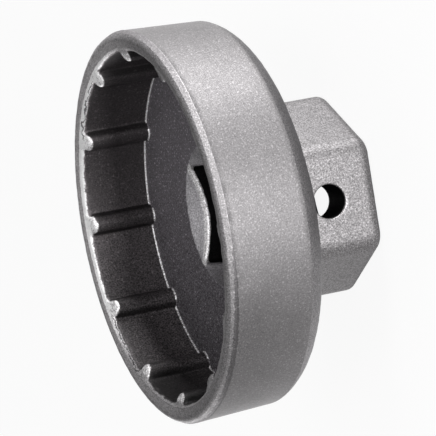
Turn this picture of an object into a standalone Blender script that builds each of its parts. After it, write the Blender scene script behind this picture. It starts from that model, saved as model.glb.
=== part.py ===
"""Bottom bracket tool: a cast steel cup with twelve ridges, turned by its hexagon or by a square drive.

The tool is one solid. +Z runs along its axis, from the end of the hexagon to the opening of the cup. The
origin is the centre of the hexagon's end face, and +X is square to a flat that the cross hole goes through.
"""

import math

import bmesh
import bpy

# The bearing cup that the tool turns, and its fit (metres)
BEARING_CUP_DIAMETER = 0.0460
BEARING_CUP_CLEARANCE = 0.000125
NOTCH_COUNT = 12
RIDGE_RADIUS = 0.0014

# The ring
RING_OUTER_RADIUS = 0.0258
RING_HEIGHT = 0.0144
RING_DRAFT = 0.0002
FLOOR_THICKNESS = 0.0047
FLOOR_FILLET = 0.00025
LIP_ROUND = 0.00125
LIP_BEVEL_ANGLE = math.radians(22.0)
SHOULDER_RADIUS = 0.0046
SHOULDER_TURNED_DEPTH = 0.0002

# The hexagon
HEX_SIDES = 6
HEX_ACROSS_FLATS = 0.0232
HEX_LENGTH = 0.0137
HEX_CORNER_RADIUS = 0.0028
HEX_END_ROUND = 0.0023
HEX_ROOT_FILLET = 0.0008

# The square drive, its countersunk mouths and the cross hole
DRIVE_SIDES = 4
DRIVE_SIZE = 0.0127
DRIVE_CLEARANCE = 0.000125
DRIVE_CORNER_RADIUS = 0.0007
MOUTH_ANGLE = math.radians(28.0)
CUP_MOUTH_RADIUS = 0.0094
END_MOUTH_RADIUS = 0.0086
CROSS_HOLE_DIAMETER = 0.0044
CROSS_HOLE_HEIGHT = 0.0071

# Fineness of the round shapes
CIRCLE_STEPS = 96
HOLE_STEPS = 32
CORNER_STEPS = 5
RIDGE_STEPS = 6
ROUND_STEPS = 4
SMALL_FILLET_STEPS = 2
SHARP_ANGLE = math.radians(25.0)

# The blasted steel
STEEL_COLOUR = (0.44, 0.43, 0.43, 1.0)
STEEL_ROUGHNESS = 0.45

# How far a cutter reaches past the face that it opens
CUTTER_REACH = 0.002

BACK_HEIGHT = HEX_LENGTH
FLOOR_HEIGHT = BACK_HEIGHT + FLOOR_THICKNESS
LIP_HEIGHT = BACK_HEIGHT + RING_HEIGHT
WALL_RADIUS = BEARING_CUP_DIAMETER / 2 + BEARING_CUP_CLEARANCE
HEX_APOTHEM = HEX_ACROSS_FLATS / 2
DRIVE_APOTHEM = DRIVE_SIZE / 2 + DRIVE_CLEARANCE


def circle(radius, steps=CIRCLE_STEPS):
    """Points of a circle round the axis."""
    turn = 2 * math.pi / steps
    return [(radius * math.cos(step * turn), radius * math.sin(step * turn)) for step in range(steps)]


def rounded_polygon(sides, apothem, corner_radius):
    """A regular polygon with round corners; its first side faces +X."""
    half = math.pi / sides
    reach = (apothem - corner_radius) / math.cos(half)
    points = []
    for corner in range(sides):
        middle = (2 * corner + 1) * half
        for step in range(CORNER_STEPS + 1):
            angle = middle + half * (2 * step / CORNER_STEPS - 1)
            points.append((reach * math.cos(middle) + corner_radius * math.cos(angle),
                           reach * math.sin(middle) + corner_radius * math.sin(angle)))
    return points


def ridged_circle(inset):
    """The cup's inner wall, with a half-round ridge for each notch of the bearing cup."""
    wall = WALL_RADIUS - inset
    ridge = RIDGE_RADIUS + inset
    pitch = 2 * math.pi / NOTCH_COUNT
    foot = 2 * math.asin(ridge / (2 * wall))
    spread = math.acos(ridge / (2 * wall))
    wall_steps = CIRCLE_STEPS // NOTCH_COUNT
    points = []
    for notch in range(NOTCH_COUNT):
        middle = notch * pitch
        for step in range(RIDGE_STEPS + 1):
            angle = middle + math.pi + spread * (1 - 2 * step / RIDGE_STEPS)
            points.append((wall * math.cos(middle) + ridge * math.cos(angle),
                           wall * math.sin(middle) + ridge * math.sin(angle)))
        for step in range(1, wall_steps):
            angle = middle + foot + (pitch - 2 * foot) * step / wall_steps
            points.append((wall * math.cos(angle), wall * math.sin(angle)))
    return points


def quarter_steps(first=0.0, steps=ROUND_STEPS):
    """Angles from first to a right angle."""
    return [first + (math.pi / 2 - first) * step / steps for step in range(steps + 1)]


def stack(name, outlines):
    """A closed solid through a stack of (points, height) outlines with equal numbers of points."""
    bm = bmesh.new()
    rings = [[bm.verts.new((x, y, height)) for x, y in points] for points, height in outlines]
    for lower, upper in zip(rings, rings[1:]):
        for index in range(len(lower)):
            following = (index + 1) % len(lower)
            bm.faces.new((lower[index], lower[following], upper[following], upper[index]))
    bm.faces.new(rings[0])
    bm.faces.new(rings[-1])
    bmesh.ops.recalc_face_normals(bm, faces=bm.faces)
    mesh = bpy.data.meshes.new(name)
    bm.to_mesh(mesh)
    bm.free()
    solid = bpy.data.objects.new(name, mesh)
    bpy.context.collection.objects.link(solid)
    return solid


def ring_blank():
    """The ring before the cup is hollowed: shoulder, drafted wall, round lip and the bevel inside it."""
    shoulder_centre = RING_OUTER_RADIUS - RING_DRAFT + SHOULDER_TURNED_DEPTH - SHOULDER_RADIUS
    first = math.acos(1 - SHOULDER_TURNED_DEPTH / SHOULDER_RADIUS)
    profile = []
    for angle in reversed(quarter_steps(first)):
        profile.append((shoulder_centre + SHOULDER_RADIUS * math.cos(angle),
                        BACK_HEIGHT + SHOULDER_RADIUS * (1 - math.sin(angle))))
    for angle in quarter_steps():
        profile.append((RING_OUTER_RADIUS - LIP_ROUND * (1 - math.cos(angle)),
                        LIP_HEIGHT - LIP_ROUND * (1 - math.sin(angle))))
    dish_radius = WALL_RADIUS - RIDGE_RADIUS - CUTTER_REACH
    dish_depth = (RING_OUTER_RADIUS - LIP_ROUND - dish_radius) * math.tan(LIP_BEVEL_ANGLE)
    profile.append((dish_radius, LIP_HEIGHT - dish_depth))
    return stack("tool_body", [(circle(radius), height) for radius, height in profile])


def hexagon():
    """The hexagon: round edges at its free end, a flared root in the ring's back."""
    outlines = []
    for angle in reversed(quarter_steps()):
        inset = HEX_END_ROUND * (1 - math.cos(angle))
        outlines.append((rounded_polygon(HEX_SIDES, HEX_APOTHEM - inset, HEX_CORNER_RADIUS - inset),
                         HEX_END_ROUND * (1 - math.sin(angle))))
    for angle in quarter_steps():
        flare = HEX_ROOT_FILLET * (1 - math.cos(angle))
        outlines.append((rounded_polygon(HEX_SIDES, HEX_APOTHEM + flare, HEX_CORNER_RADIUS + flare),
                         BACK_HEIGHT - HEX_ROOT_FILLET * (1 - math.sin(angle))))
    outlines.append((outlines[-1][0], BACK_HEIGHT + FLOOR_THICKNESS / 2))
    return stack("hexagon", outlines)


def cup_hollow():
    """The space inside the cup, between the ridges and down to the floor."""
    outlines = []
    for angle in reversed(quarter_steps(steps=SMALL_FILLET_STEPS)):
        outlines.append((ridged_circle(FLOOR_FILLET * (1 - math.cos(angle))),
                         FLOOR_HEIGHT + FLOOR_FILLET * (1 - math.sin(angle))))
    outlines.append((ridged_circle(0), LIP_HEIGHT + CUTTER_REACH))
    return stack("cup_hollow", outlines)


def drive_hole():
    """The square hole through the floor and the hexagon."""
    square = rounded_polygon(DRIVE_SIDES, DRIVE_APOTHEM, DRIVE_CORNER_RADIUS)
    return stack("drive_hole", [(square, -CUTTER_REACH), (square, FLOOR_HEIGHT + CUTTER_REACH)])


def drive_mouth(name, radius, height, outward):
    """A countersink of the square hole; outward is 1 where it opens upward and -1 where it opens downward."""
    slope = math.tan(MOUTH_ANGLE)
    narrow = DRIVE_APOTHEM - CUTTER_REACH
    wide = radius + CUTTER_REACH
    return stack(name, [(circle(narrow), height - outward * (radius - narrow) * slope),
                        (circle(wide), height + outward * (wide - radius) * slope)])


def cross_hole():
    """The round hole across the hexagon, square to the flats that face +X and -X."""
    reach = HEX_APOTHEM + CUTTER_REACH
    ends = [(circle(CROSS_HOLE_DIAMETER / 2, HOLE_STEPS), height) for height in (-reach, reach)]
    cutter = stack("cross_hole", ends)
    cutter.rotation_euler.y = math.pi / 2
    cutter.location.z = CROSS_HOLE_HEIGHT
    return cutter


def combine(body, operand, operation):
    """Add a Boolean modifier, and hide the object that it works with."""
    modifier = body.modifiers.new(operand.name, "BOOLEAN")
    modifier.operation = operation
    modifier.solver = "EXACT"
    modifier.object = operand
    operand.hide_render = True
    operand.display_type = "WIRE"


def cast_steel():
    """Blasted grey steel."""
    material = bpy.data.materials.new("cast_steel")
    material.use_nodes = True
    shader = material.node_tree.nodes["Principled BSDF"]
    shader.inputs["Base Color"].default_value = STEEL_COLOUR
    shader.inputs["Metallic"].default_value = 1.0
    shader.inputs["Roughness"].default_value = STEEL_ROUGHNESS
    material.diffuse_color = STEEL_COLOUR
    return material


def finish(body):
    """Apply the modifiers, shade the round faces smooth and give the steel."""
    graph = bpy.context.evaluated_depsgraph_get()
    mesh = bpy.data.meshes.new_from_object(body.evaluated_get(graph))
    body.modifiers.clear()
    body.data = mesh
    mesh.name = body.name
    mesh.shade_smooth()
    mesh.set_sharp_from_angle(angle=SHARP_ANGLE)
    mesh.materials.clear()
    mesh.materials.append(cast_steel())


def build():
    for existing in list(bpy.data.objects):
        bpy.data.objects.remove(existing)
    body = ring_blank()
    combine(body, hexagon(), "UNION")
    combine(body, cup_hollow(), "DIFFERENCE")
    combine(body, drive_hole(), "DIFFERENCE")
    combine(body, drive_mouth("cup_mouth", CUP_MOUTH_RADIUS, FLOOR_HEIGHT, 1), "DIFFERENCE")
    combine(body, drive_mouth("end_mouth", END_MOUTH_RADIUS, 0.0, -1), "DIFFERENCE")
    combine(body, cross_hole(), "DIFFERENCE")
    finish(body)


build()
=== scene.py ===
"""Looks of the bottom bracket tool: one finely modelled steel casting on a plain pale floor.

The tool stands on the end of its hexagon, with +Z along its axis. All lengths are in metres, in the frame
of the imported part. The surface is one closed grid of loops: it runs down the square hole, round the
hexagon, up the ring, over the lip, down the ridged wall and back over the floor of the cup.
"""

import math

import bmesh
import bpy
import numpy as np
from mathutils import Matrix, Vector, noise


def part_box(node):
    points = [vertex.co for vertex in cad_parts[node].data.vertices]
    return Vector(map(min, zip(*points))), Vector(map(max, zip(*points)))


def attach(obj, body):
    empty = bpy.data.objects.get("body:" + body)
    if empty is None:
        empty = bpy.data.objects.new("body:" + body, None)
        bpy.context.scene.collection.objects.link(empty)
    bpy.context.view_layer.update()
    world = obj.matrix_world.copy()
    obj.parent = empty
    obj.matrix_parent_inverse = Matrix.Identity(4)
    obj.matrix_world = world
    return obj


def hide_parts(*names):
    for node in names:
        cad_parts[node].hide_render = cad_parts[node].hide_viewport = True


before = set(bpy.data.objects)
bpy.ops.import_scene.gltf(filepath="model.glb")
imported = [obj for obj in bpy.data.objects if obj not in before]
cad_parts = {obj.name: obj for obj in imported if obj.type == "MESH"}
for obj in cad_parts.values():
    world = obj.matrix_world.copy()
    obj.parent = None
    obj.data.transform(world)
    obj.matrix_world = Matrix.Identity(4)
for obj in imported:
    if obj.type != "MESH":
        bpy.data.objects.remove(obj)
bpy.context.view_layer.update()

MM = 0.001


def mm(*lengths):
    """Lengths in millimetres as metres."""
    return tuple(length * MM for length in lengths)


tool_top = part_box("tool_body")[1]

# The ring, its lip and its shoulder
RING_RADIUS = tool_top.x
LIP_HEIGHT = tool_top.z
BACK_HEIGHT = 13.7 * MM
SHOULDER_RADIUS = 4.6 * MM
SHOULDER_TURNED_DEPTH = 0.354 * MM
RING_DRAFT = 0.45 * MM
TURNED_TOP = 27.0 * MM
LIP_FOOT_ROUND = 0.25 * MM
LIP_CHAMFER = 0.63 * MM
LIP_CHAMFER_ANGLE = math.radians(27.0)
LIP_CORNER_ROUND = 0.20 * MM
LIP_CORNER_ANGLE = math.radians(47.0)
LIP_TOP_ROUND = 1.0 * MM
LIP_SLOPE = math.radians(18.0)
LIP_STEP = 0.018 * MM
LIP_STEP_LENGTH = 0.08 * MM

# The inside of the cup
WALL_RADIUS = 23.125 * MM
RIDGE_COUNT = 12
RIDGE_RADIUS = 1.4 * MM
RIDGE_FOOT_FILLET = 0.3 * MM
WALL_RIM_ROUND = 0.75 * MM
FLOOR_HEIGHT = 18.4 * MM
FLOOR_FILLET = 0.25 * MM

# The hexagon
HEX_SIDES = 6
HEX_APOTHEM = 11.6 * MM
HEX_CORNER_RADIUS = 2.8 * MM
HEX_END_ROUND = 2.3 * MM
HEX_END_ROUND_HEIGHT = 1.75 * MM
HEX_ROOT_FILLET = 0.8 * MM

# The square hole, its countersunk mouths and the cross hole
DRIVE_SIDES = 4
DRIVE_APOTHEM = 6.475 * MM
DRIVE_CORNER_RADIUS = 0.7 * MM
MOUTH_SLOPE = math.radians(28.0)
MOUTH_EDGE_ROUND = 0.5 * MM
HOLE_MARGIN = 0.02 * MM
CUP_MOUTH_RADIUS = 9.4 * MM
CUP_RIM_ROUND = 0.50 * MM
END_MOUTH_RADIUS = 9.2 * MM
END_MOUTH_SLOPE = math.radians(36.0)
END_RIM_ROUND = 0.3 * MM
CROSS_HOLE_RADIUS = 2.2 * MM
CROSS_HOLE_HEIGHT = 7.1 * MM
CROSS_HOLE_EDGE_ROUND = 0.2 * MM
CROSS_HOLE_EDGE_ANGLE = math.radians(72.0)
CROSS_HOLE_FLARE = 0.3 * MM

# Columns of the grid; it divides by the ridges, the hexagon's sides and the square's sides
COLUMNS = 480

# Steps of the grid round the corners and ridges, and along its sections
DRIVE_CORNER_STEPS = 16
HEX_CORNER_STEPS = 24
RIDGE_STEPS = 8
RIDGE_FOOT_STEPS = 3
MOUTH_EDGE_STEPS = 3
CUP_MOUTH_STEPS = 6
CUP_RIM_STEPS = 7
DRIVE_WALL_STEPS = 14
END_RIM_STEPS = 5
END_MOUTH_STEPS = 4
END_FACE_STEPS = 2
HEX_END_STEPS = 12
HEX_SIDE_STEPS = 16
HEX_ROOT_STEPS = 7
BACK_STEPS = 8
SHOULDER_STEPS = 22
TURNED_STEPS = 18
LIP_FOOT_STEPS = 4
LIP_CORNER_STEPS = 3
LIP_TOP_STEPS = 11
LIP_DISH_STEPS = 5
WALL_RIM_STEPS = 8
CUP_WALL_STEPS = 12
FLOOR_FILLET_STEPS = 5
FLOOR_STEPS = 13
CROSS_HOLE_SIDES = 64
CROSS_HOLE_EDGE_STEPS = 4

# The cast unevenness: bumps per metre and their depth, and where each depth holds
COARSE_BUMPS = 900.0
FINE_BUMPS = 2600.0
FINE_BUMPS_SHARE = 0.5
CAST_UNEVENNESS = 0.030 * MM
RIM_UNEVENNESS = 0.070 * MM
HEX_UNEVENNESS = 0.012 * MM
WALL_BAND_RADIUS = 24.5 * MM
RIM_BAND_RADIUS = 23.9 * MM
RIM_BAND_HEIGHT = 26.4 * MM
HEX_BAND_RADIUS = 14.5 * MM
TURNED_MARGIN_LOW = 0.3 * MM
TURNED_MARGIN_HIGH = 0.1 * MM
LIMIT_MARGIN = 0.02 * MM
SHARP_ANGLE = math.radians(50.0)

# Colours
GROUND_STEEL = (0.235, 0.227, 0.231, 1.0)
OUTER_SKIN = (0.225, 0.217, 0.222, 1.0)
# The chamfer's colour with a painted highlight in it
CHAMFER_HIGHLIGHT = (0.30, 0.291, 0.296, 1.0)
# Painted shade under the shoulder, at the hexagon's round end and in the groove below the lip
CREASE_SHADE = (0.055, 0.051, 0.054, 1.0)
LIP_SKIN = (0.26, 0.252, 0.257, 1.0)
WALL_SKIN = (0.085, 0.077, 0.080, 1.0)
FLOOR_SKIN = (0.156, 0.145, 0.159, 1.0)
# The countersink's colour, painted lighter as if lit
MOUTH_LIT_SKIN = (0.49, 0.475, 0.497, 1.0)
# Painted highlights on the rim, the square hole's edge and the floor's corner; on the rim also bare worn
# steel
HIGHLIGHT_AND_BARE_EDGE = (0.76, 0.745, 0.755, 1.0)
# Painted shade inside the square hole and the cross hole; also the crack's dark colour
HOLE_SHADE_AND_CRACK = (0.020, 0.019, 0.020, 1.0)
FLOOR_COLOUR = (0.88, 0.88, 0.88, 1.0)
WHITE = (1.0, 1.0, 1.0, 1.0)

# The steel's noises: scale per metre, detail and, where it isn't a half, roughness
RAGGED = (1500.0, 3.0)
WAVY = (650.0, 3.0)
GRAIN = (5200.0, 1.0, 0.6)
SPECK = (2300.0, 3.0, 0.65)
CLOUD = (260.0, 3.0, 0.55)
FLECK = (3200.0, 0.0)
GLINT = (5200.0, 0.0)
NOISE_RANGE = (0.3, 0.7)
RAGGED_REACH = 0.10 * MM
WAVY_REACH = 0.15 * MM

# Edges of the steel's masks: the lengths at which each is 0 and at which it is 1. Where there are four
# numbers, the last two are the values at the first two.
RING_EDGE = mm(24.0, 24.4)
CREASE_EDGE = mm(-0.04, 0.02)
TURNED_END_HEIGHT = mm(27.76, 27.66)
CHAMFER_HEIGHT = mm(26.95, 27.15)
CHAMFER_LIGHT_LEFT = (*mm(10.0, 21.5), 1.0, -0.2)
CHAMFER_LIGHT_RIGHT = (*mm(-14.0, -23.0), 1.0, 0.0)
LAND_RADIUS = 24.6 * MM
LAND_HEIGHT = 27.70 * MM
LAND_SLOPE = 0.36
LAND_EDGE = mm(-0.03, 0.07)
LAND_INNER_EDGE = mm(21.0, 21.4)
SHOULDER_INNER_EDGE = mm(14.0, 17.0)
SHOULDER_HEIGHT = mm(13.2, 13.5)
FACET_LOW_HEIGHT = mm(0.4, 1.0)
FACET_HIGH_HEIGHT = mm(13.3, 12.7)
FACET_INNER_EDGE = mm(9.0, 10.0)
FACET_OUTER_EDGE = mm(15.2, 14.6)
ROUGH_FACET_Y = mm(7.2, 6.0)
UNDER_SHADE_BY_HEIGHT = (*mm(16.4, 14.3), 0.32, 1.0)
UNDER_SHADE_Y = mm(-9.0, 0.0)
UNDER_SHADE_BY_Y = (*mm(12.0, 24.0), 1.0, 0.55)
END_SHADE_HEIGHT = mm(0.85, 0.20)
END_SHADE_EDGE = mm(9.3, 9.6)
END_SHADE_Y = mm(-9.0, -5.0)
END_SHADE_SHARE = 0.8
# The groove below the lip is painted with shade that grows towards -Y
GROOVE_HEIGHT = 27.03 * MM
GROOVE_EDGE = 0.05 * MM
GROOVE_WIDTH_BY_Y = mm(3.0, -11.0, -0.03, 0.32)
GROOVE_Y = mm(7.0, 2.0)
GROOVE_SHARE_BY_Y = (*mm(5.0, -8.0), 0.25, 0.55)

# The same for the rim between the cup's wall and the lip
RIM_RADIUS_BY_X = mm(-20.0, -8.0, 23.95, 23.62)
RIM_EDGE = 0.08 * MM
RIM_FACE_EDGE = mm(-0.10, 0.12)
SKIN_TOP = 27.35 * MM
SKIN_TOP_REACH = 0.15 * MM
SKIN_TOP_SLOPE = 0.5
# Where the rim gets no painted highlight: the near side of the wall between the ridges, and all of it towards
# +X
RIM_SHADE_SIDE = mm(-19.0, -8.0)
RIM_SHADE_RADIUS = mm(22.7, 23.0)
RIM_SHADE_X = mm(4.0, 11.0)
RIM_SHADE_SHARE = 0.85
CRACK_HEIGHT = 0.13 * MM
CRACK_EDGE = mm(0.07, 0.03)
CRACK_START_X = mm(-20.5, -19.5)
CRACK_END_X = mm(-11.5, -12.5)
CRACK_RADIUS = mm(22.9, 23.05)
CRACK_SHARE = 0.85

# The same for the inside of the cup and the holes
CUP_HEIGHT = (FLOOR_HEIGHT - 0.4 * MM, FLOOR_HEIGHT - 0.1 * MM)
FLOOR_EDGE = (FLOOR_HEIGHT + 0.20 * MM, FLOOR_HEIGHT + 0.06 * MM)
CORNER_HIGH_HEIGHT = (FLOOR_HEIGHT + 0.26 * MM, FLOOR_HEIGHT + 0.18 * MM)
CORNER_LOW_HEIGHT = (FLOOR_HEIGHT + 0.02 * MM, FLOOR_HEIGHT + 0.06 * MM)
CORNER_INNER_EDGE = mm(20.9, 21.3)
CORNER_WALL_EDGE = mm(22.75, 22.85)
CORNER_RIDGE_EDGE = mm(22.05, 21.95)
MOUTH_EDGE = mm(9.55, 9.3)
MOUTH_HEIGHT = mm(13.0, 16.0)
MOUTH_LIGHT_BY_Y = (*mm(-7.5, -4.5), 0.35, 1.0)
MOUTH_RIM_OUTER_EDGE = (DRIVE_APOTHEM + 0.72 * MM, DRIVE_APOTHEM + 0.50 * MM)
MOUTH_RIM_INNER_EDGE = (DRIVE_APOTHEM - 0.45 * MM, DRIVE_APOTHEM - 0.15 * MM)
MOUTH_RIM_END = (DRIVE_APOTHEM + 0.75 * MM, DRIVE_APOTHEM + 0.35 * MM)
SQUARE_EDGE = mm(9.25, 9.0)
SQUARE_DEPTH = mm(0.26, 0.38)
SQUARE_LOW_HEIGHT = mm(1.2, 2.0)
CROSS_HOLE_EDGE = mm(2.32, 2.24)
CROSS_HOLE_END = mm(11.55, 11.3)

# The steel's grain: how strong it is in each place, its flecks and its glints
CAST_GRAIN = 2.0
TURNED_GRAIN = 1.0
FACET_GRAIN = 0.25
CHAMFER_GRAIN = 0.5
SKIN_GRAIN_BY_Y = (*mm(-14.0, 8.0), 2.6, -0.4)
DARKEST_GRAIN = 0.25
CLOUD_RANGE = (0.95, 1.05)
FLECK_RANGE = (0.64, 0.82)
FLECK_LIGHT = 1.2
WALL_FLECKS = 0.7
FLOOR_FLECKS = 1.5
GLINT_RANGE = (0.66, 0.80)
GLINT_LIGHT = 0.28

# Painted light and shade on the steel, and the ridges' worn ends: its lighter and darker places
FLANK_OUTER_EDGE = mm(23.10, 22.95)
FLANK_INNER_EDGE = mm(21.95, 22.40)
FLANK_SHADE = 0.62
CREST_EDGE = mm(22.10, 21.85)
CREST_SHADE = 0.12
DEPTH_TONE_BY_HEIGHT = (*mm(20.0, 27.0), 1.25, 0.40)
DEPTH_TONE_Y = mm(2.0, -13.0)
LOW_WALL_BY_HEIGHT = (*mm(20.0, 25.0), 0.64, 0.36)
LOW_WALL_Y = mm(-18.5, -21.0)
RIDGE_END_EDGE = mm(23.0, 22.8)
RIDGE_WEAR_BY_SPECK = (0.38, 0.60, -0.50, -0.08)
FLOOR_TONE_BY_Y = (*mm(-18.0, 4.0), 0.72, 1.25)
LAND_TONE_BY_X = (*mm(-25.0, 25.0), 1.25, 0.95)
FAR_LAND_X = mm(8.0, -6.0)
FAR_LAND_BY_Y = (*mm(-20.0, 20.0), 0.15, 0.58)
LIGHT_SHOULDER_Y = mm(-9.0, -19.0)
SHOULDER_LIGHT = 0.35
# A painted shaded band on the turned wall, on the side towards this direction
WALL_SHADE_WAY = (0.669, -0.743)
WALL_SHADE_EDGE = mm(20.5, 24.8)
WALL_SHADE_BY_HEIGHT = (*mm(17.0, 24.0), 0.4, 1.0)
WALL_SHADE_SHARE = 0.22

# The steel's shader
SKIN_METALLIC = 0.65
ROUGHNESS_RANGE = (0.45, 0.55)
ROUGHER = 0.20
SKIN_ROUGHER = 0.35
LAND_ROUGHER = 0.6
SPECK_DEPTH = 0.05 * MM
SPECK_STRENGTH = 0.35
GRAIN_DEPTH = 0.03 * MM
GRAIN_STRENGTH = 0.45

# The floor, the lamps (azimuth, elevation, distance, width, height and watts) and the room
FLOOR_REACH = 1.5
FLOOR_GLOW = 0.91
FLOOR_GLOW_MIRRORED = 0.44
MIRRORED_EDGE = mm(9.0, 15.0)
LAMPS = {
    "overhead": (0.0, 85.0, 0.60, 0.80, 0.80, 1.1),
    "key": (79.0, 3.5, 0.50, 0.20, 0.08, 4.6),
    "front": (3.0, 3.5, 0.50, 0.14, 0.08, 2.5),
    "front_high": (10.0, 38.0, 0.50, 0.16, 0.36, 0.9),
    "side": (-130.0, 3.5, 0.50, 0.20, 0.08, 1.3),
}
ROOM_STRENGTH = 0.14

# The photograph's camera
CAMERA_AZIMUTH = math.radians(4.783)
CAMERA_ELEVATION = math.radians(21.763)
CAMERA_ROLL = math.radians(-100.903)
CAMERA_DISTANCE = 419.0 * MM
CAMERA_AIM = Vector((0.0, -0.34 * MM, 18.03 * MM))
CAMERA_LENS = 265.77
CAMERA_CLIP = (0.01, 10.0)
SENSOR_WIDTH = 36.0


def direction(azimuth, elevation):
    """The unit vector at an azimuth from +X towards +Y and an elevation above the floor."""
    return Vector((math.cos(elevation) * math.cos(azimuth),
                   math.cos(elevation) * math.sin(azimuth),
                   math.sin(elevation)))


# Outlines of the grid

def circle(radius):
    """Points of a circle round the axis, from +X."""
    angles = np.arange(COLUMNS) * (2 * math.pi / COLUMNS)
    return radius * np.column_stack((np.cos(angles), np.sin(angles)))


def rounded_polygon(sides, apothem, corner_radius, corner_steps):
    """Points and outward normals of a polygon with round corners, from the middle of the side at +X."""
    half = math.pi / sides
    reach = (apothem - corner_radius) / math.cos(half)
    side_steps = (COLUMNS // sides - corner_steps) // 2
    side_half = reach * math.sin(half)
    points = []
    normals = []
    for side in range(sides):
        turn = 2 * side * half
        along = np.array((-math.sin(turn), math.cos(turn)))
        outward = np.array((math.cos(turn), math.sin(turn)))
        corner = reach * np.array((math.cos(turn + half), math.sin(turn + half)))
        for step in range(side_steps):
            points.append(apothem * outward + along * side_half * step / side_steps)
            normals.append(outward)
        for step in range(corner_steps):
            angle = turn + 2 * half * step / corner_steps
            normal = np.array((math.cos(angle), math.sin(angle)))
            points.append(corner + corner_radius * normal)
            normals.append(normal)
        turn += 2 * half
        along = np.array((-math.sin(turn), math.cos(turn)))
        outward = np.array((math.cos(turn), math.sin(turn)))
        for step in range(side_steps):
            points.append(apothem * outward + along * side_half * (step / side_steps - 1))
            normals.append(outward)
    return np.array(points), np.array(normals)


def ridged_wall():
    """Points and inward normals of the cup's wall, from the crest of the ridge at +X."""
    pitch = 2 * math.pi / RIDGE_COUNT
    wall_steps = COLUMNS // RIDGE_COUNT // 2 - RIDGE_STEPS - RIDGE_FOOT_STEPS
    centre_radius = WALL_RADIUS - RIDGE_FOOT_FILLET
    span = RIDGE_RADIUS + RIDGE_FOOT_FILLET
    foot = math.acos((centre_radius ** 2 + WALL_RADIUS ** 2 - span ** 2) / (2 * WALL_RADIUS * centre_radius))
    ridge_centre = np.array((WALL_RADIUS, 0.0))
    fillet_centre = centre_radius * np.array((math.cos(foot), math.sin(foot)))
    tangent = math.atan2(*(fillet_centre - ridge_centre)[::-1])
    half = []
    for step in range(RIDGE_STEPS + 1):
        angle = math.pi + (tangent - math.pi) * step / RIDGE_STEPS
        normal = np.array((math.cos(angle), math.sin(angle)))
        half.append((ridge_centre + RIDGE_RADIUS * normal, normal))
    for step in range(1, RIDGE_FOOT_STEPS + 1):
        angle = tangent - math.pi + (foot - tangent + math.pi) * step / RIDGE_FOOT_STEPS
        normal = np.array((-math.cos(angle), -math.sin(angle)))
        half.append((fillet_centre - RIDGE_FOOT_FILLET * normal, normal))
    for step in range(1, wall_steps + 1):
        angle = foot + (pitch / 2 - foot) * step / wall_steps
        normal = np.array((-math.cos(angle), -math.sin(angle)))
        half.append((-WALL_RADIUS * normal, normal))
    mirror = np.array((1.0, -1.0))
    notch = half + [(point * mirror, normal * mirror) for point, normal in half[-2:0:-1]]
    points = []
    normals = []
    for ridge in range(RIDGE_COUNT):
        for index, (point, normal) in enumerate(notch):
            turn = ridge * pitch + (pitch if index >= len(half) else 0.0)
            rotation = np.array(((math.cos(turn), -math.sin(turn)), (math.sin(turn), math.cos(turn))))
            points.append(rotation @ point)
            normals.append(rotation @ normal)
    return np.array(points), np.array(normals)


def loop(outline, height):
    """A loop of the grid: an outline at one height, or at a height for each of its points."""
    return np.column_stack((outline, np.broadcast_to(height, COLUMNS)))


def between(first, last, count, height_at=None):
    """The loops strictly between two loops; height_at gives their heights from the distance to the axis."""
    loops = []
    for step in range(1, count + 1):
        share = step / (count + 1)
        middle = first * (1 - share) + last * share
        if height_at:
            middle[:, 2] = height_at(np.hypot(middle[:, 0], middle[:, 1]))
        loops.append(middle)
    return loops


def cone(radius, height, slope, up):
    """The height of a countersink by the distance to the axis; up is 1 where it opens upward, else -1."""
    return lambda distance: height - up * np.maximum(radius - distance, 0.0) * math.tan(slope)


def rim(outline, inward, edge_round, height_at, slope, up, steps):
    """The round edge from a sloping face into an upright wall whose normals point inward."""
    distance = np.hypot(outline[:, 0], outline[:, 1])
    facing = -(outline * inward).sum(1) / distance
    first = np.arctan(math.tan(slope) * facing)
    start = outline - inward * (edge_round * (1 - np.sin(first)))[:, None]
    start_height = height_at(np.hypot(start[:, 0], start[:, 1]))
    loops = []
    for step in range(steps + 1):
        angle = first + (math.pi / 2 - first) * step / steps
        points = outline - inward * (edge_round * (1 - np.sin(angle)))[:, None]
        loops.append(loop(points, start_height + up * edge_round * (np.cos(angle) - np.cos(first))))
    return loops


def mouth_edge(radius, height, slope, up, hole=None):
    """The round edge from a flat face into a countersink; it goes round a hole that reaches past it."""
    centre = radius + MOUTH_EDGE_ROUND * math.tan(slope / 2)
    loops = []
    for step in range(MOUTH_EDGE_STEPS + 1):
        angle = slope * step / MOUTH_EDGE_STEPS
        reach = np.full(COLUMNS, centre - MOUTH_EDGE_ROUND * math.sin(angle))
        depth = np.full(COLUMNS, MOUTH_EDGE_ROUND * (1 - math.cos(angle)))
        if hole is not None:
            least = hole + HOLE_MARGIN * (MOUTH_EDGE_STEPS + 1 - step)
            depth[least > reach] = 0.0
            reach = np.maximum(reach, least)
        loops.append(loop(circle(1.0) * reach[:, None], height - up * depth))
    return loops


def quarter(steps, first=0.0, last=math.pi / 2):
    """Angles in equal steps, both ends included."""
    return [first + (last - first) * step / steps for step in range(steps + 1)]


# Sections of the surface, in the order in which the grid runs

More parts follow.
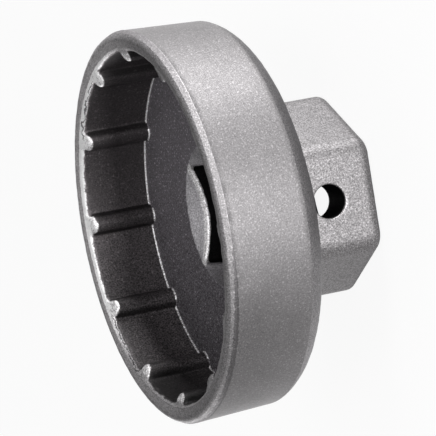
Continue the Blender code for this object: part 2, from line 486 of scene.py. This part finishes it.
def square_hole():
    """From the floor of the cup through the square hole to the flat end of the hexagon."""
    square, outward = rounded_polygon(DRIVE_SIDES, DRIVE_APOTHEM, DRIVE_CORNER_RADIUS, DRIVE_CORNER_STEPS)
    cup_cone = cone(CUP_MOUTH_RADIUS, FLOOR_HEIGHT, MOUTH_SLOPE, 1)
    end_cone = cone(END_MOUTH_RADIUS, 0.0, END_MOUTH_SLOPE, -1)
    cup_edge = mouth_edge(CUP_MOUTH_RADIUS, FLOOR_HEIGHT, MOUTH_SLOPE, 1)
    cup_rim = rim(square, -outward, CUP_RIM_ROUND, cup_cone, MOUTH_SLOPE, 1, CUP_RIM_STEPS)
    end_rim = rim(square, -outward, END_RIM_ROUND, end_cone, END_MOUTH_SLOPE, -1, END_RIM_STEPS)[::-1]
    corners = np.hypot(end_rim[-1][:, 0], end_rim[-1][:, 1])
    end_edge = mouth_edge(END_MOUTH_RADIUS, 0.0, END_MOUTH_SLOPE, -1, corners)[::-1]
    return (cup_edge + between(cup_edge[-1], cup_rim[0], CUP_MOUTH_STEPS, cup_cone) + cup_rim
            + between(cup_rim[-1], end_rim[0], DRIVE_WALL_STEPS) + end_rim
            + between(end_rim[-1], end_edge[0], END_MOUTH_STEPS, end_cone) + end_edge)


def hexagon():
    """From the flat end of the hexagon over its large round edge to the root in the ring's back."""
    outline, outward = rounded_polygon(HEX_SIDES, HEX_APOTHEM, HEX_CORNER_RADIUS, HEX_CORNER_STEPS)
    end = []
    for angle in quarter(HEX_END_STEPS, math.pi / 2, 0.0):
        end.append(loop(outline - outward * HEX_END_ROUND * (1 - math.cos(angle)),
                        HEX_END_ROUND_HEIGHT * (1 - math.sin(angle))))
    root = []
    for angle in quarter(HEX_ROOT_STEPS):
        root.append(loop(outline + outward * HEX_ROOT_FILLET * (1 - math.cos(angle)),
                         BACK_HEIGHT - HEX_ROOT_FILLET * (1 - math.sin(angle))))
    return end + between(end[-1], root[0], HEX_SIDE_STEPS) + root


def shoulder_profile():
    """Radius and height along the cast shoulder, from the ring's back to the turned wall."""
    first = math.acos(1 - SHOULDER_TURNED_DEPTH / SHOULDER_RADIUS)
    centre = RING_RADIUS - RING_DRAFT + SHOULDER_TURNED_DEPTH - SHOULDER_RADIUS
    return [(centre + SHOULDER_RADIUS * math.cos(angle),
             BACK_HEIGHT + SHOULDER_RADIUS * (1 - math.sin(angle)))
            for angle in quarter(SHOULDER_STEPS, math.pi / 2, first)]


def traced(start, pieces):
    """Points of a profile that turns inward: arcs (radius, first, last, steps) by the slope of their normals.

    A straight piece is (length, angle), with one angle.
    """
    radius, height = start
    profile = []
    for piece in pieces:
        if len(piece) == 2:
            length, angle = piece
            profile.append((radius - length / 2 * math.sin(angle), height + length / 2 * math.cos(angle)))
            profile.append((radius - length * math.sin(angle), height + length * math.cos(angle)))
        else:
            bend, first, last, steps = piece
            for angle in quarter(steps, first, last)[1:]:
                profile.append((radius + bend * (math.cos(angle) - math.cos(first)),
                                height + bend * (math.sin(angle) - math.sin(first))))
        radius, height = profile[-1]
    return profile


def ring_outside():
    """From the ring's back over the shoulder, up the turned wall and over the lip."""
    profile = shoulder_profile()
    crease_radius, crease_height = profile[-1]
    turned_end = TURNED_TOP - LIP_STEP_LENGTH
    turned_radius = RING_RADIUS - LIP_STEP
    for step in range(1, TURNED_STEPS + 1):
        share = step / TURNED_STEPS
        profile.append((crease_radius + (turned_radius - crease_radius) * share,
                        crease_height + (turned_end - crease_height) * share))
    profile.append((RING_RADIUS, TURNED_TOP))
    profile += traced(profile[-1], [
        (LIP_FOOT_ROUND, 0.0, LIP_CHAMFER_ANGLE, LIP_FOOT_STEPS),
        (LIP_CHAMFER, LIP_CHAMFER_ANGLE),
        (LIP_CORNER_ROUND, LIP_CHAMFER_ANGLE, LIP_CORNER_ANGLE, LIP_CORNER_STEPS),
        (LIP_TOP_ROUND, LIP_CORNER_ANGLE, math.pi / 2 + LIP_SLOPE, LIP_TOP_STEPS)])
    return [loop(circle(radius), height) for radius, height in profile]


def cup_inside(dish_start):
    """From the sloping lip round the rim, down the ridged wall and over the floor."""
    wall, inward = ridged_wall()
    start_radius = np.hypot(*dish_start[0, :2])

    def dish(distance):
        """The height of the sloping lip by the distance to the axis."""
        return dish_start[0, 2] - (start_radius - distance) * math.tan(LIP_SLOPE)

    wall_rim = rim(wall, inward, WALL_RIM_ROUND, dish, LIP_SLOPE, 1, WALL_RIM_STEPS)
    fillet = []
    for angle in quarter(FLOOR_FILLET_STEPS):
        fillet.append(loop(wall + inward * FLOOR_FILLET * (1 - math.cos(angle)),
                           FLOOR_HEIGHT + FLOOR_FILLET * (1 - math.sin(angle))))
    mouth = loop(circle(CUP_MOUTH_RADIUS + MOUTH_EDGE_ROUND * math.tan(MOUTH_SLOPE / 2)), FLOOR_HEIGHT)
    return (between(dish_start, wall_rim[0], LIP_DISH_STEPS, dish) + wall_rim
            + between(wall_rim[-1], fillet[0], CUP_WALL_STEPS) + fillet
            + between(fillet[-1], mouth, FLOOR_STEPS))


def surface_loops():
    """Every loop of the closed grid."""
    hole = square_hole()
    hexagonal = hexagon()
    ring = ring_outside()
    return (hole + between(hole[-1], hexagonal[0], END_FACE_STEPS) + hexagonal
            + between(hexagonal[-1], ring[0], BACK_STEPS) + ring + cup_inside(ring[-1]))


def grid_object(name, loops):
    """A closed mesh over the loops, of which the last joins the first."""
    rows = len(loops)
    faces = []
    for row in range(rows):
        lower = row * COLUMNS
        upper = (row + 1) % rows * COLUMNS
        for column in range(COLUMNS):
            following = (column + 1) % COLUMNS
            faces.append((lower + column, lower + following, upper + following, upper + column))
    mesh = bpy.data.meshes.new(name)
    mesh.from_pydata(np.concatenate(loops).tolist(), [], faces)
    made = bpy.data.objects.new(name, mesh)
    bpy.context.collection.objects.link(made)
    return made


def cross_hole_cutter():
    """A bar along X whose ends flare, so that the hole has round edges in the flats."""
    profile = []
    for angle in quarter(CROSS_HOLE_EDGE_STEPS, 0.0, CROSS_HOLE_EDGE_ANGLE):
        profile.append((HEX_APOTHEM - CROSS_HOLE_EDGE_ROUND * (1 - math.sin(angle)),
                        CROSS_HOLE_RADIUS + CROSS_HOLE_EDGE_ROUND * (1 - math.cos(angle))))
    along, radius = profile[-1]
    profile.append((along + CROSS_HOLE_FLARE * math.cos(CROSS_HOLE_EDGE_ANGLE),
                    radius + CROSS_HOLE_FLARE * math.sin(CROSS_HOLE_EDGE_ANGLE)))
    profile = [(-along, radius) for along, radius in reversed(profile)] + profile
    bm = bmesh.new()
    rings = []
    for along, radius in profile:
        ring = []
        for side in range(CROSS_HOLE_SIDES):
            turn = 2 * math.pi * side / CROSS_HOLE_SIDES
            ring.append(bm.verts.new((along, radius * math.cos(turn),
                                      CROSS_HOLE_HEIGHT + radius * math.sin(turn))))
        rings.append(ring)
    for first, second in zip(rings, rings[1:]):
        for side in range(CROSS_HOLE_SIDES):
            following = (side + 1) % CROSS_HOLE_SIDES
            bm.faces.new((first[side], first[following], second[following], second[side]))
    bm.faces.new(rings[0])
    bm.faces.new(rings[-1])
    bmesh.ops.recalc_face_normals(bm, faces=bm.faces)
    mesh = bpy.data.meshes.new("cross_hole_cutter")
    bm.to_mesh(mesh)
    bm.free()
    cutter = bpy.data.objects.new("cross_hole_cutter", mesh)
    bpy.context.collection.objects.link(cutter)
    return cutter


def cut(body, cutter):
    """Cut the body and remove the cutter."""
    modifier = body.modifiers.new("cut", "BOOLEAN")
    modifier.operation = "DIFFERENCE"
    modifier.solver = "EXACT"
    modifier.object = cutter
    graph = bpy.context.evaluated_depsgraph_get()
    mesh = bpy.data.meshes.new_from_object(body.evaluated_get(graph))
    body.modifiers.clear()
    body.data = mesh
    mesh.name = body.name
    bpy.data.objects.remove(cutter)


def cast_unevenness(mesh):
    """Push the cast faces in and out a little; the turned wall stays round."""
    crease_radius, crease_height = shoulder_profile()[-1]
    turned_slope = (RING_RADIUS - LIP_STEP - crease_radius) / (TURNED_TOP - crease_height)
    count = len(mesh.vertices)
    points = np.empty(count * 3)
    mesh.vertices.foreach_get("co", points)
    points = points.reshape(-1, 3)
    normals = np.empty(count * 3, np.float32)
    mesh.vertex_normals.foreach_get("vector", normals)
    normals = normals.reshape(-1, 3)
    depth = np.empty(count)
    for index, point in enumerate(points):
        place = Vector(point)
        depth[index] = noise.noise(place * COARSE_BUMPS) + FINE_BUMPS_SHARE * noise.noise(place * FINE_BUMPS)
    distance = np.hypot(points[:, 0], points[:, 1])
    height = points[:, 2]
    turned = distance > WALL_BAND_RADIUS
    turned &= (height > crease_height + TURNED_MARGIN_LOW) & (height < TURNED_TOP - TURNED_MARGIN_HIGH)
    on_hexagon = (distance < HEX_BAND_RADIUS) & (height < BACK_HEIGHT)
    on_rim = (distance < RIM_BAND_RADIUS) & (height > RIM_BAND_HEIGHT)
    amount = np.full(count, CAST_UNEVENNESS)
    amount[on_rim] = RIM_UNEVENNESS
    amount[on_hexagon] = HEX_UNEVENNESS
    amount[turned] = 0.0
    points += normals * (depth * amount)[:, None]
    points[:, 2] = np.maximum(points[:, 2], 0.0)

    # No bump stands out past the turned wall
    distance = np.hypot(points[:, 0], points[:, 1])
    limit = crease_radius + (height - crease_height) * turned_slope
    outside = (distance > limit) & (distance > WALL_BAND_RADIUS) & (height < TURNED_TOP - LIMIT_MARGIN)
    points[outside, :2] *= (limit[outside] / distance[outside])[:, None]
    mesh.vertices.foreach_set("co", points.ravel())
    mesh.update()


# Material

class Nodes:
    """Short ways to add shader nodes. A value is a number, a colour or the output of a node."""

    def __init__(self, material):
        material.use_nodes = True
        self.tree = material.node_tree
        self.shader = self.tree.nodes["Principled BSDF"]

    def add(self, kind, **properties):
        """A node with its properties set."""
        node = self.tree.nodes.new("ShaderNode" + kind)
        for name, value in properties.items():
            setattr(node, name, value)
        return node

    def put(self, socket, value):
        """Link an output to a socket, or set the socket to a number or a colour."""
        if isinstance(value, bpy.types.NodeSocket):
            self.tree.links.new(value, socket)
        else:
            socket.default_value = value

    def fill(self, node, **values):
        """Put values into a node's inputs, which are named with _ for a space."""
        for name, value in values.items():
            self.put(node.inputs[name.replace("_", " ")], value)
        return node

    def split(self, vector):
        """The three parts of a vector."""
        parts = self.add("SeparateXYZ")
        self.put(parts.inputs[0], vector)
        return parts.outputs

    def math(self, operation, *values):
        node = self.add("Math", operation=operation)
        for socket, value in zip(node.inputs, values):
            self.put(socket, value)
        return node.outputs[0]

    def both(self, first, *others):
        """The product of masks."""
        for other in others:
            first = self.math("MULTIPLY", first, other)
        return first

    def either(self, first, *others):
        """The largest of masks."""
        for other in others:
            first = self.math("MAXIMUM", first, other)
        return first

    def outside(self, mask):
        return self.math("SUBTRACT", 1.0, mask)

    def minus(self, first, second):
        return self.math("SUBTRACT", first, second)

    def plus(self, value, other, share=1.0):
        """A value plus a share of another."""
        return self.math("MULTIPLY_ADD", other, share, value)

    def length(self, first, second):
        return self.math("SQRT", self.math("ADD", self.both(first, first), self.both(second, second)))

    def smooth(self, value, low, high):
        """0 below low, 1 above high; the other way round where low is the larger one."""
        flipped = low > high
        node = self.add("MapRange", interpolation_type="SMOOTHSTEP")
        self.fill(node, Value=value, From_Min=min(low, high), From_Max=max(low, high),
                  To_Min=1.0 if flipped else 0.0, To_Max=0.0 if flipped else 1.0)
        return node.outputs["Result"]

    def scaled(self, value, low, high, start, end):
        """A value mapped from low..high onto start..end."""
        node = self.add("MapRange")
        self.fill(node, Value=value, From_Min=low, From_Max=high, To_Min=start, To_Max=end)
        return node.outputs["Result"]

    def noise(self, place, scale, detail, roughness=0.5):
        node = self.fill(self.add("TexNoise"), Vector=place, Scale=scale, Detail=detail, Roughness=roughness)
        return node.outputs["Fac"]

    def mix(self, share, first, second, blend="MIX"):
        """The colour between two colours, which have inputs 6 and 7 and output 2 of the node."""
        node = self.add("Mix", data_type="RGBA", blend_type=blend)
        self.put(node.inputs[0], share)
        self.put(node.inputs[6], first)
        self.put(node.inputs[7], second)
        return node.outputs[2]

    def toned(self, light, mask, tone):
        """A light times a tone where the mask is 1."""
        return self.both(light, self.math("ADD", self.outside(mask), self.both(mask, tone)))

    def changed(self, light, mask, change):
        """A light that changes by a share of itself where the mask is 1."""
        return self.both(light, self.plus(1.0, mask, change))

    def bump(self, height, distance, strength, normal=None):
        node = self.fill(self.add("Bump"), Height=height, Distance=distance, Strength=strength)
        if normal:
            self.put(node.inputs["Normal"], normal)
        return node.outputs["Normal"]


class Steel(Nodes):
    """Satin steel: light where it was turned or ground before blasting, darker where the casting skin stays.

    Its masks go from 0 to 1 by the place on the tool. Ragged and wavy noise moves their edges a little, by
    the share that each plus() gives last.
    """

    def __init__(self):
        self.material = bpy.data.materials.new("blasted_cast_steel")
        super().__init__(self.material)
        self.place = self.add("TexCoord").outputs["Object"]
        self.x, self.y, self.z = self.split(self.place)
        self.distance = self.length(self.x, self.y)
        self.ragged = self.scaled(self.noise(self.place, *RAGGED), *NOISE_RANGE, -RAGGED_REACH, RAGGED_REACH)
        self.wavy = self.scaled(self.noise(self.place, *WAVY), *NOISE_RANGE, -WAVY_REACH, WAVY_REACH)
        self.grain = self.noise(self.place, *GRAIN)
        self.speck = self.noise(self.place, *SPECK)
        self.mask_ring()
        self.mask_hexagon()
        self.mask_rim()
        self.mask_holes()
        self.mask_cup()

    def bounded(self, value, bounds):
        """A mask whose edge lies between two lengths; with four numbers, a value between the last two."""
        return self.smooth(value, *bounds) if len(bounds) == 2 else self.scaled(value, *bounds)

    def by_x(self, bounds):
        return self.bounded(self.x, bounds)

    def by_y(self, bounds):
        return self.bounded(self.y, bounds)

    def by_height(self, bounds):
        return self.bounded(self.z, bounds)

    def by_radius(self, bounds):
        return self.bounded(self.distance, bounds)

    def mask_ring(self):
        """The turned wall with its chamfer, the land of the lip, and the cast shoulder."""
        crease_height = shoulder_profile()[-1][1]
        crease_low, crease_high = (crease_height + offset for offset in CREASE_EDGE)
        self.on_ring = self.by_radius(RING_EDGE)
        above_crease = self.smooth(self.plus(self.z, self.ragged, 0.2), crease_low, crease_high)
        below_land = self.smooth(self.plus(self.z, self.ragged, 0.6), *TURNED_END_HEIGHT)
        self.turned = self.both(above_crease, below_land, self.on_ring)
        self.on_chamfer = self.both(self.turned, self.by_height(CHAMFER_HEIGHT))

        inward = self.either(self.minus(LAND_RADIUS, self.distance), 0.0)
        above_land = self.minus(self.plus(self.z, self.ragged), self.plus(LAND_HEIGHT, inward, -LAND_SLOPE))
        self.on_land = self.both(self.smooth(above_land, *LAND_EDGE), self.by_radius(LAND_INNER_EDGE))

        self.on_shoulder = self.both(self.by_radius(SHOULDER_INNER_EDGE), self.by_height(SHOULDER_HEIGHT),
                                     self.smooth(self.z, crease_high, crease_low))

    def mask_hexagon(self):
        """The ground flats of the hexagon."""
        ragged_z = self.plus(self.z, self.ragged)
        self.facets = self.both(self.smooth(ragged_z, *FACET_LOW_HEIGHT),
                                self.smooth(ragged_z, *FACET_HIGH_HEIGHT),
                                self.by_radius(FACET_INNER_EDGE), self.by_radius(FACET_OUTER_EDGE))

    def mask_rim(self):
        """The rim between the cup's wall and the land: bare worn steel with a painted highlight on the far
        side and the ridge tips, skin where no highlight is painted, with a crack along it.
        """
        wavy_distance = self.plus(self.distance, self.wavy, 0.3)
        edge_radius = self.by_x(RIM_RADIUS_BY_X)
        self.within_rim = self.smooth(self.minus(wavy_distance, edge_radius), RIM_EDGE, -RIM_EDGE)
        past_wall = self.math("MINIMUM", self.minus(self.distance, WALL_RADIUS), SKIN_TOP_REACH)
        skin_top = self.plus(SKIN_TOP, past_wall, SKIN_TOP_SLOPE)
        above_skin = self.minus(self.plus(self.z, self.wavy, 0.6), skin_top)
        self.rim_face = self.both(self.within_rim, self.smooth(above_skin, *RIM_FACE_EDGE))

        # No painted highlight on the near side of the rim
        rim_shade_way = self.plus(self.x, self.y, -0.3)
        rim_shade = self.both(self.smooth(rim_shade_way, *RIM_SHADE_SIDE), self.by_radius(RIM_SHADE_RADIUS))
        rim_shade = self.either(rim_shade, self.by_x(RIM_SHADE_X))
        self.highlit_bare_rim = self.both(self.rim_face, self.plus(1.0, rim_shade, -RIM_SHADE_SHARE))

        from_crack = self.math("ABSOLUTE", self.minus(self.plus(above_skin, self.wavy, 0.8), CRACK_HEIGHT))
        self.crack = self.both(self.smooth(from_crack, *CRACK_EDGE), self.by_x(CRACK_START_X),
                               self.by_x(CRACK_END_X), self.by_radius(CRACK_RADIUS), self.rim_face)

    def mask_holes(self):
        """The countersink in the cup's floor, the painted highlight on the square hole's edge in it, and the
        inside of the holes, which is painted dark as shade.
        """
        self.in_mouth = self.both(self.smooth(self.plus(self.distance, self.wavy, 0.7), *MOUTH_EDGE),
                                  self.by_height(MOUTH_HEIGHT))
        across = self.math("ABSOLUTE", self.x)
        along = self.plus(self.math("ABSOLUTE", self.y), self.wavy)
        # Painted highlight on the square hole's edge in the countersink, on the ±X sides only
        self.mouth_rim = self.both(self.smooth(self.plus(across, self.wavy), *MOUTH_RIM_OUTER_EDGE),
                                   self.in_mouth, self.smooth(across, *MOUTH_RIM_INNER_EDGE),
                                   self.smooth(along, *MOUTH_RIM_END))

        past_edge = self.minus(self.distance, CUP_MOUTH_RADIUS)
        mouth_height = self.plus(FLOOR_HEIGHT, past_edge, math.tan(MOUTH_SLOPE))
        below_mouth = self.minus(mouth_height, self.plus(self.z, self.wavy, 0.5))
        # Inside the holes, painted dark as shade
        in_square = self.both(self.by_radius(SQUARE_EDGE), self.smooth(below_mouth, *SQUARE_DEPTH),
                              self.by_height(SQUARE_LOW_HEIGHT))
        hole_distance = self.length(self.y, self.minus(self.z, CROSS_HOLE_HEIGHT))
        in_cross = self.both(self.smooth(hole_distance, *CROSS_HOLE_EDGE), self.by_radius(CROSS_HOLE_END))
        self.in_hole = self.either(in_square, in_cross)

    def mask_cup(self):
        """The casting skin inside the cup, its floor, and the painted highlight along the corner of floor and
        wall.
        """
        self.in_cup = self.both(self.within_rim, self.by_height(CUP_HEIGHT))
        self.on_floor = self.by_height(FLOOR_EDGE)
        self.skin = self.both(self.in_cup, self.outside(self.either(self.rim_face, self.in_mouth)))
        self.on_wall = self.both(self.skin, self.outside(self.on_floor))
        # The corner's painted highlight keeps off the feet of the ridges
        off_ridge_feet = self.either(self.by_radius(CORNER_WALL_EDGE), self.by_radius(CORNER_RIDGE_EDGE))
        self.in_corner = self.both(self.by_height(CORNER_HIGH_HEIGHT), self.by_height(CORNER_LOW_HEIGHT),
                                   self.in_cup, self.by_radius(CORNER_INNER_EDGE), off_ridge_feet)

    def dark_places(self):
        """Masks of the painted shade under the shoulder, at the hexagon's round end and in the groove below
        the lip.
        """
        under_shoulder = self.both(self.by_height(UNDER_SHADE_BY_HEIGHT), self.by_y(UNDER_SHADE_Y),
                                   self.on_shoulder, self.by_y(UNDER_SHADE_BY_Y))
        round_end = self.both(self.by_height(END_SHADE_HEIGHT), self.by_radius(END_SHADE_EDGE),
                              self.by_y(END_SHADE_Y), END_SHADE_SHARE)
        from_groove = self.math("ABSOLUTE", self.minus(self.plus(self.z, self.wavy, 0.3), GROOVE_HEIGHT))
        groove_width = self.plus(self.by_y(GROOVE_WIDTH_BY_Y), self.ragged)
        groove = self.both(self.smooth(self.minus(from_groove, groove_width), GROOVE_EDGE, -GROOVE_EDGE),
                           self.on_ring, self.by_y(GROOVE_Y), self.by_y(GROOVE_SHARE_BY_Y))
        return self.either(under_shoulder, round_end), groove

    def colour(self):
        """The colours of the ground steel, the skins, the bare edges and the holes."""
        shade, groove = self.dark_places()
        # Painted highlight on the chamfer: full between -14 and 10 mm in Y, fading beyond
        chamfer_light = self.both(self.by_y(CHAMFER_LIGHT_LEFT), self.by_y(CHAMFER_LIGHT_RIGHT))
        # The countersink is painted lighter as if lit, and falls back to the floor's skin as painted shade
        # towards -Y
        mouth_light = self.by_y(MOUTH_LIGHT_BY_Y)
        outer = self.mix(self.on_land, OUTER_SKIN, LIP_SKIN)
        colour = self.mix(self.either(self.turned, self.facets), outer, GROUND_STEEL)
        colour = self.mix(self.on_chamfer, colour, self.mix(chamfer_light, OUTER_SKIN, CHAMFER_HIGHLIGHT))
        # Painted shade: under the shoulder and at the hexagon's round end on the +Y side, and in the groove
        # below the lip towards -Y
        colour = self.mix(shade, colour, CREASE_SHADE)
        colour = self.mix(groove, colour, CREASE_SHADE)
        colour = self.mix(self.in_cup, colour, self.mix(self.on_floor, WALL_SKIN, FLOOR_SKIN))
        colour = self.mix(self.rim_face, colour, LIP_SKIN)
        colour = self.mix(self.in_mouth, colour, self.mix(mouth_light, FLOOR_SKIN, MOUTH_LIT_SKIN))
        # Painted highlights: the rim's far side, partly bare worn steel, the square hole's edge in the
        # countersink, and the corner of floor and wall
        colour = self.mix(self.either(self.highlit_bare_rim, self.mouth_rim, self.in_corner), colour, HIGHLIGHT_AND_BARE_EDGE)
        # Painted shade inside the holes, and the dark crack along the rim
        return self.mix(self.either(self.in_hole, self.both(self.crack, CRACK_SHARE)), colour, HOLE_SHADE_AND_CRACK)

    def grain_light(self):
        """The light and dark of the blasted grain, with flecks in the skin and glints on the ground steel."""
        strength = self.scaled(self.turned, 0.0, 1.0, CAST_GRAIN, TURNED_GRAIN)
        strength = self.plus(strength, self.facets, FACET_GRAIN)
        strength = self.plus(strength, self.on_chamfer, CHAMFER_GRAIN)
        strength = self.plus(strength, self.skin, self.by_y(SKIN_GRAIN_BY_Y))
        grain = self.plus(1.0, self.minus(self.grain, 0.5), strength)
        cloud = self.scaled(self.noise(self.place, *CLOUD), *NOISE_RANGE, *CLOUD_RANGE)
        light = self.both(self.either(grain, DARKEST_GRAIN), cloud)

        fleck_share = self.both(self.skin, self.scaled(self.on_floor, 0.0, 1.0, WALL_FLECKS, FLOOR_FLECKS))
        flecks = self.both(self.smooth(self.noise(self.place, *FLECK), *FLECK_RANGE), fleck_share)
        light = self.changed(light, flecks, FLECK_LIGHT)
        rough_facets = self.both(self.facets, self.smooth(self.math("ABSOLUTE", self.y), *ROUGH_FACET_Y))
        glints = self.both(self.smooth(self.noise(self.place, *GLINT), *GLINT_RANGE),
                           self.either(self.turned, rough_facets))
        return self.changed(light, glints, GLINT_LIGHT)

    def cup_light(self, light):
        """Painted light and shade inside the cup on the ridges, wall and floor, and the ridges' worn ends."""
        # Painted shade on the ridges: darker flanks at their feet and slightly darker crests
        flank = self.both(self.by_radius(FLANK_OUTER_EDGE), self.by_radius(FLANK_INNER_EDGE))
        crest = self.by_radius(CREST_EDGE)
        ridge_tone = self.plus(self.plus(1.0, crest, -CREST_SHADE), flank, -FLANK_SHADE)
        # Painted shade and light on the wall towards -Y: lighter deep down, darker near the lip
        depth_tone = self.toned(1.0, self.by_y(DEPTH_TONE_Y), self.by_height(DEPTH_TONE_BY_HEIGHT))
        light = self.toned(light, self.on_wall, self.both(ridge_tone, depth_tone))
        # Painted shade on the wall at the far -Y side, darker higher up
        low_wall = self.both(self.on_wall, self.by_y(LOW_WALL_Y))
        light = self.toned(light, low_wall, self.by_height(LOW_WALL_BY_HEIGHT))
        ridge_end = self.both(self.rim_face, self.by_radius(RIDGE_END_EDGE))
        light = self.changed(light, ridge_end, self.scaled(self.speck, *RIDGE_WEAR_BY_SPECK))
        # The cup's floor painted darker towards -Y and lighter towards +Y
        return self.toned(light, self.both(self.skin, self.on_floor), self.by_y(FLOOR_TONE_BY_Y))

    def outer_light(self, light):
        """Painted light and shade on the outside: the lip's land lighter on the far side, the shoulder
        lighter towards -Y, and a painted shaded band on one side of the turned wall.
        """
        # The land painted lighter on its far side
        far_land = self.both(self.by_x(FAR_LAND_X), self.by_y(FAR_LAND_BY_Y))
        land_tone = self.by_x(LAND_TONE_BY_X)
        light = self.toned(light, self.on_land, self.plus(land_tone, land_tone, far_land))
        # The shoulder painted lighter towards -Y
        light = self.changed(light, self.both(self.on_shoulder, self.by_y(LIGHT_SHOULDER_Y)), SHOULDER_LIGHT)
        # A painted shaded band on one side of the turned wall
        wall_shade_way = self.math("ADD", self.both(self.x, WALL_SHADE_WAY[0]), self.both(self.y, WALL_SHADE_WAY[1]))
        wall_shade = self.both(self.smooth(self.plus(wall_shade_way, self.wavy, 3.0), *WALL_SHADE_EDGE), self.turned,
                              self.outside(self.on_chamfer), self.by_height(WALL_SHADE_BY_HEIGHT))
        return self.changed(light, wall_shade, -WALL_SHADE_SHARE)

    def finish(self):
        """Set the shader up; the material."""
        light = self.outer_light(self.cup_light(self.grain_light()))
        grey = self.fill(self.add("CombineColor"), Red=light, Green=light, Blue=light)
        roughness = self.scaled(self.speck, *NOISE_RANGE, *ROUGHNESS_RANGE)
        rougher = self.either(self.both(self.skin, SKIN_ROUGHER), self.both(self.on_land, LAND_ROUGHER),
                              self.on_chamfer)
        normal = self.bump(self.speck, SPECK_DEPTH, SPECK_STRENGTH)
        self.fill(self.shader, Base_Color=self.mix(1.0, self.colour(), grey.outputs[0], "MULTIPLY"),
                  Metallic=self.scaled(self.skin, 0.0, 1.0, 1.0, SKIN_METALLIC),
                  Roughness=self.plus(roughness, rougher, ROUGHER),
                  Normal=self.bump(self.grain, GRAIN_DEPTH, GRAIN_STRENGTH, normal))
        return self.material


def tool():
    """The tool's one piece, in the place of the part's node."""
    body = grid_object("steel_body", surface_loops())
    cut(body, cross_hole_cutter())
    cast_unevenness(body.data)
    body.data.shade_smooth()
    body.data.set_sharp_from_angle(angle=SHARP_ANGLE)
    body.data.materials.clear()
    body.data.materials.append(Steel().finish())
    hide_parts("tool_body")
    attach(body, "root")


# Stage

def floor():
    """A plain pale floor under the tool. Part of its paleness is its own, so that it reads as white."""
    mesh = bpy.data.meshes.new("floor")
    corners = [(x * FLOOR_REACH, y * FLOOR_REACH, 0.0) for x, y in ((-1, -1), (1, -1), (1, 1), (-1, 1))]
    mesh.from_pydata(corners, [], [(0, 1, 2, 3)])
    ground = bpy.data.objects.new("floor", mesh)
    bpy.context.collection.objects.link(ground)
    material = bpy.data.materials.new("floor")
    nodes = Nodes(material)
    nodes.fill(nodes.shader, Base_Color=FLOOR_COLOUR, Roughness=1.0, Specular_IOR_Level=0.0)
    x, y, _ = nodes.split(nodes.add("NewGeometry").outputs["Position"])
    # The mirrored glow fades right under the tool: a painted contact shadow seen in the steel's reflections
    outside_tool = nodes.smooth(nodes.length(x, y), *MIRRORED_EDGE)
    path = nodes.add("LightPath").outputs
    mirrored = nodes.either(path["Is Glossy Ray"], path["Is Transmission Ray"])
    seen = nodes.either(nodes.both(path["Is Camera Ray"], FLOOR_GLOW),
                        nodes.both(mirrored, outside_tool, FLOOR_GLOW_MIRRORED))
    glow = nodes.fill(nodes.add("Emission"), Color=WHITE)
    blend = nodes.add("MixShader")
    for socket, value in zip(blend.inputs, (seen, nodes.shader.outputs[0], glow.outputs[0])):
        nodes.put(socket, value)
    nodes.put(nodes.tree.nodes["Material Output"].inputs["Surface"], blend.outputs[0])
    mesh.materials.append(material)


def lamp(name, azimuth, elevation, distance, width, height, power):
    """A soft rectangular lamp that faces the tool; its width runs level."""
    centre = Vector((0.0, 0.0, LIP_HEIGHT / 2))
    back = direction(math.radians(azimuth), math.radians(elevation))
    data = bpy.data.lights.new(name, "AREA")
    data.shape = "RECTANGLE"
    data.size = width
    data.size_y = height
    data.energy = power
    made = bpy.data.objects.new(name, data)
    made.location = centre + back * distance
    made.rotation_euler = back.to_track_quat("Z", "Y").to_euler()
    bpy.context.collection.objects.link(made)


def lights():
    """Soft studio light: the lamps, in a dim white room."""
    for name, values in LAMPS.items():
        lamp(name, *values)
    world = bpy.data.worlds.new("room")
    world.use_nodes = True
    background = world.node_tree.nodes["Background"]
    background.inputs["Color"].default_value = WHITE
    background.inputs["Strength"].default_value = ROOM_STRENGTH
    bpy.context.scene.world = world


def camera():
    """The photograph's camera, worked out from the outlines of the ring, the hexagon and the hole."""
    back = direction(CAMERA_AZIMUTH, CAMERA_ELEVATION)
    level = Vector((0.0, 0.0, 1.0)).cross(back).normalized()
    upright = back.cross(level)
    right = level * math.cos(CAMERA_ROLL) + upright * math.sin(CAMERA_ROLL)
    up = back.cross(right)
    data = bpy.data.cameras.new("camera")
    data.lens = CAMERA_LENS
    data.sensor_width = SENSOR_WIDTH
    data.clip_start, data.clip_end = CAMERA_CLIP
    made = bpy.data.objects.new("camera", data)
    rotation = Matrix((right, up, back)).transposed()
    made.matrix_world = Matrix.Translation(CAMERA_AIM + back * CAMERA_DISTANCE) @ rotation.to_4x4()
    bpy.context.collection.objects.link(made)
    bpy.context.scene.camera = made


camera()
floor()
lights()
tool()
bpy.context.scene.view_settings.view_transform = "Standard"
